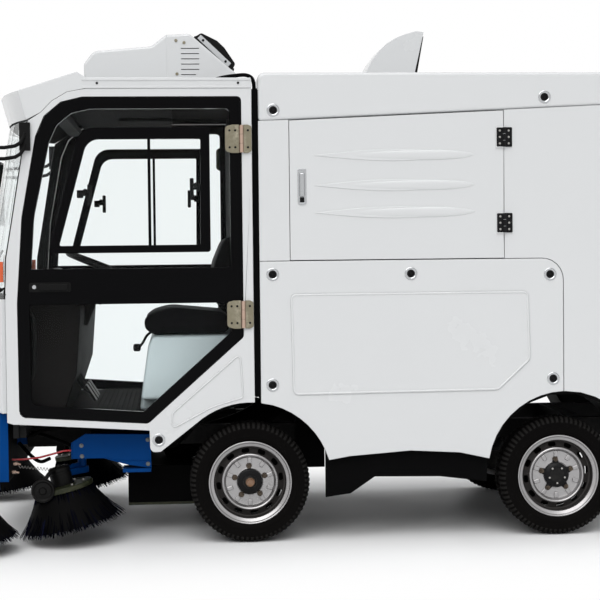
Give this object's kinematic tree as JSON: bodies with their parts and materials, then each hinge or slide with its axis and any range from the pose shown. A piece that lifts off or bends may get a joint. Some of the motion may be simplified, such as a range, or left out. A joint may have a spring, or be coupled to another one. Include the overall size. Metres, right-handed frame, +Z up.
{
  "type": "street sweeper truck",
  "caption": "Compact street sweeper truck with a glazed cab, a closed rear body with side hatches and a rear door, and swinging side brushes.",
  "frame": {"origin": "middle of the truck's length and width, on the ground under its tyres", "axes": "+X from the nose to the tail, +Y to the truck's right hand side, +Z up"},
  "size_m": [3.3078, 1.89, 2.1563],
  "materials": {
    "white_paint": "semi-gloss",
    "black_paint": "semi-gloss",
    "blue_paint": "semi-gloss",
    "dark_plastic": "matte",
    "tyre": "matte",
    "rubber": "matte",
    "silver_steel": "satin",
    "dark_iron": "matte",
    "glass": "gloss",
    "amber_lens": "gloss",
    "bristle": "matte",
    "black_vinyl": "satin",
    "red_hose": "semi-gloss"
  },
  "bodies": {
    "chassis": {"chassis_frame": "dark_iron", "front_axle": "dark_iron", "rear_axle": "dark_iron", "battery_block": "dark_plastic", "cab_frame": "white_paint", "cab_roof": "white_paint", "front_fascia": "white_paint", "windshield": "glass", "cab_floor": "dark_plastic", "cab_back_wall": "dark_plastic", "dashboard": "dark_plastic", "seat_base": "white_paint", "seat_cushion": "black_vinyl", "seat_back": "black_vinyl", "body_shell": "white_paint", "roof_cap": "white_paint", "lower_panel_left": "white_paint", "lower_panel_right": "white_paint", "side_flap_left": "rubber", "side_flap_right": "rubber", "cooler_housing": "white_paint", "cooler_fan_guard": "black_paint", "roof_scoop": "white_paint", "front_bumper": "blue_paint", "rear_bumper": "black_paint", "indicator_left": "amber_lens", "indicator_right": "amber_lens", "mirror_left": "black_paint", "mirror_right": "black_paint", "suction_mouth": "dark_plastic", "arm_bracket_left": "blue_paint", "arm_bracket_right": "blue_paint", "red_hose": "red_hose"},
    "knuckle_left": {"knuckle_left": "dark_iron"},
    "wheel_front_left": {"rim_front_left": "silver_steel", "tyre_front_left": "tyre"},
    "wheel_rear_left": {"rim_rear_left": "silver_steel", "tyre_rear_left": "tyre"},
    "door_left": {"cab_door_left": "black_paint", "door_glass_left": "glass"},
    "hatch_left": {"side_hatch_left": "white_paint"},
    "arm_front_left": {"brush_arm_front_left": "blue_paint"},
    "side_brush_front_left": {"brush_front_left": "bristle"},
    "arm_mid_left": {"brush_arm_mid_left": "blue_paint"},
    "side_brush_mid_left": {"brush_mid_left": "bristle"},
    "knuckle_right": {"knuckle_right": "dark_iron"},
    "wheel_front_right": {"rim_front_right": "silver_steel", "tyre_front_right": "tyre"},
    "wheel_rear_right": {"rim_rear_right": "silver_steel", "tyre_rear_right": "tyre"},
    "door_right": {"cab_door_right": "black_paint", "door_glass_right": "glass"},
    "hatch_right": {"side_hatch_right": "white_paint"},
    "arm_front_right": {"brush_arm_front_right": "blue_paint"},
    "side_brush_front_right": {"brush_front_right": "bristle"},
    "arm_mid_right": {"brush_arm_mid_right": "blue_paint"},
    "side_brush_mid_right": {"brush_mid_right": "bristle"},
    "steering": {"steering_wheel": "dark_plastic"},
    "tail_door": {"rear_door": "white_paint"}
  },
  "joints": [
    {"name": "steer_left", "type": "hinge", "parent": "chassis", "child": "knuckle_left", "pos_m": [-0.28108, -0.5, 0.246], "axis": [0, 0, 1], "range_deg": [-30, 30]},
    {"name": "front_wheel_left_spin", "type": "hinge", "parent": "knuckle_left", "child": "wheel_front_left", "pos_m": [-0.28108, -0.59, 0.246], "axis": [0, 1, 0], "continuous": true},
    {"name": "rear_wheel_left_spin", "type": "hinge", "parent": "chassis", "child": "wheel_rear_left", "pos_m": [0.99792, -0.59, 0.246], "axis": [0, 1, 0], "continuous": true},
    {"name": "cab_door_left_hinge", "type": "hinge", "parent": "chassis", "child": "door_left", "pos_m": [-0.30307, -0.7078, 1.315], "axis": [0, 0, 1], "range_deg": [0, 75]},
    {"name": "side_hatch_left_hinge", "type": "hinge", "parent": "chassis", "child": "hatch_left", "pos_m": [0.76792, -0.7078, 1.47], "axis": [0, 0, 1], "range_deg": [0, 110]},
    {"name": "brush_arm_front_left_swing", "type": "hinge", "parent": "chassis", "child": "arm_front_left", "pos_m": [-1.32607, -0.6, 0.3], "axis": [0, 0, 1], "range_deg": [-25, 0]},
    {"name": "brush_front_left_spin", "type": "hinge", "parent": "arm_front_left", "child": "side_brush_front_left", "pos_m": [-1.45107, -0.72, 0.198], "axis": [-0.1219, 0, 0.9925], "continuous": true},
    {"name": "brush_arm_mid_left_swing", "type": "hinge", "parent": "chassis", "child": "arm_mid_left", "pos_m": [-0.97608, -0.43, 0.3], "axis": [0, 0, 1], "range_deg": [-15, 20]},
    {"name": "brush_mid_left_spin", "type": "hinge", "parent": "arm_mid_left", "child": "side_brush_mid_left", "pos_m": [-1.04608, -0.54, 0.228], "axis": [-0.225, 0, 0.9744], "continuous": true},
    {"name": "steer_right", "type": "hinge", "parent": "chassis", "child": "knuckle_right", "pos_m": [-0.28108, 0.5, 0.246], "axis": [0, 0, 1], "range_deg": [-30, 30]},
    {"name": "front_wheel_right_spin", "type": "hinge", "parent": "knuckle_right", "child": "wheel_front_right", "pos_m": [-0.28108, 0.59, 0.246], "axis": [0, 1, 0], "continuous": true},
    {"name": "rear_wheel_right_spin", "type": "hinge", "parent": "chassis", "child": "wheel_rear_right", "pos_m": [0.99792, 0.59, 0.246], "axis": [0, 1, 0], "continuous": true},
    {"name": "cab_door_right_hinge", "type": "hinge", "parent": "chassis", "child": "door_right", "pos_m": [-0.30307, 0.7078, 1.315], "axis": [0, 0, -1], "range_deg": [0, 75]},
    {"name": "side_hatch_right_hinge", "type": "hinge", "parent": "chassis", "child": "hatch_right", "pos_m": [0.76792, 0.7078, 1.47], "axis": [0, 0, -1], "range_deg": [0, 110]},
    {"name": "brush_arm_front_right_swing", "type": "hinge", "parent": "chassis", "child": "arm_front_right", "pos_m": [-1.32607, 0.6, 0.3], "axis": [0, 0, -1], "range_deg": [-25, 0]},
    {"name": "brush_front_right_spin", "type": "hinge", "parent": "arm_front_right", "child": "side_brush_front_right", "pos_m": [-1.45107, 0.72, 0.198], "axis": [-0.1219, 0, 0.9925], "continuous": true},
    {"name": "brush_arm_mid_right_swing", "type": "hinge", "parent": "chassis", "child": "arm_mid_right", "pos_m": [-0.97608, 0.43, 0.3], "axis": [0, 0, -1], "range_deg": [-15, 20]},
    {"name": "brush_mid_right_spin", "type": "hinge", "parent": "arm_mid_right", "child": "side_brush_mid_right", "pos_m": [-1.04608, 0.54, 0.228], "axis": [-0.225, 0, 0.9744], "continuous": true},
    {"name": "steering_wheel_turn", "type": "hinge", "parent": "chassis", "child": "steering", "pos_m": [-0.88108, -0.28, 1.13], "axis": [0.3746, 0, 0.9272], "range_deg": [-360, 360]},
    {"name": "rear_door_hinge", "type": "hinge", "parent": "chassis", "child": "tail_door", "pos_m": [1.62672, 0, 1.694], "axis": [0, -1, 0], "range_deg": [0, 85]}
  ],
  "couplings": [
    {"joint": "steer_right", "follows": "steer_left", "ratio": 1},
    {"joint": "steering_wheel_turn", "follows": "steer_left", "ratio": 12}
  ]
}
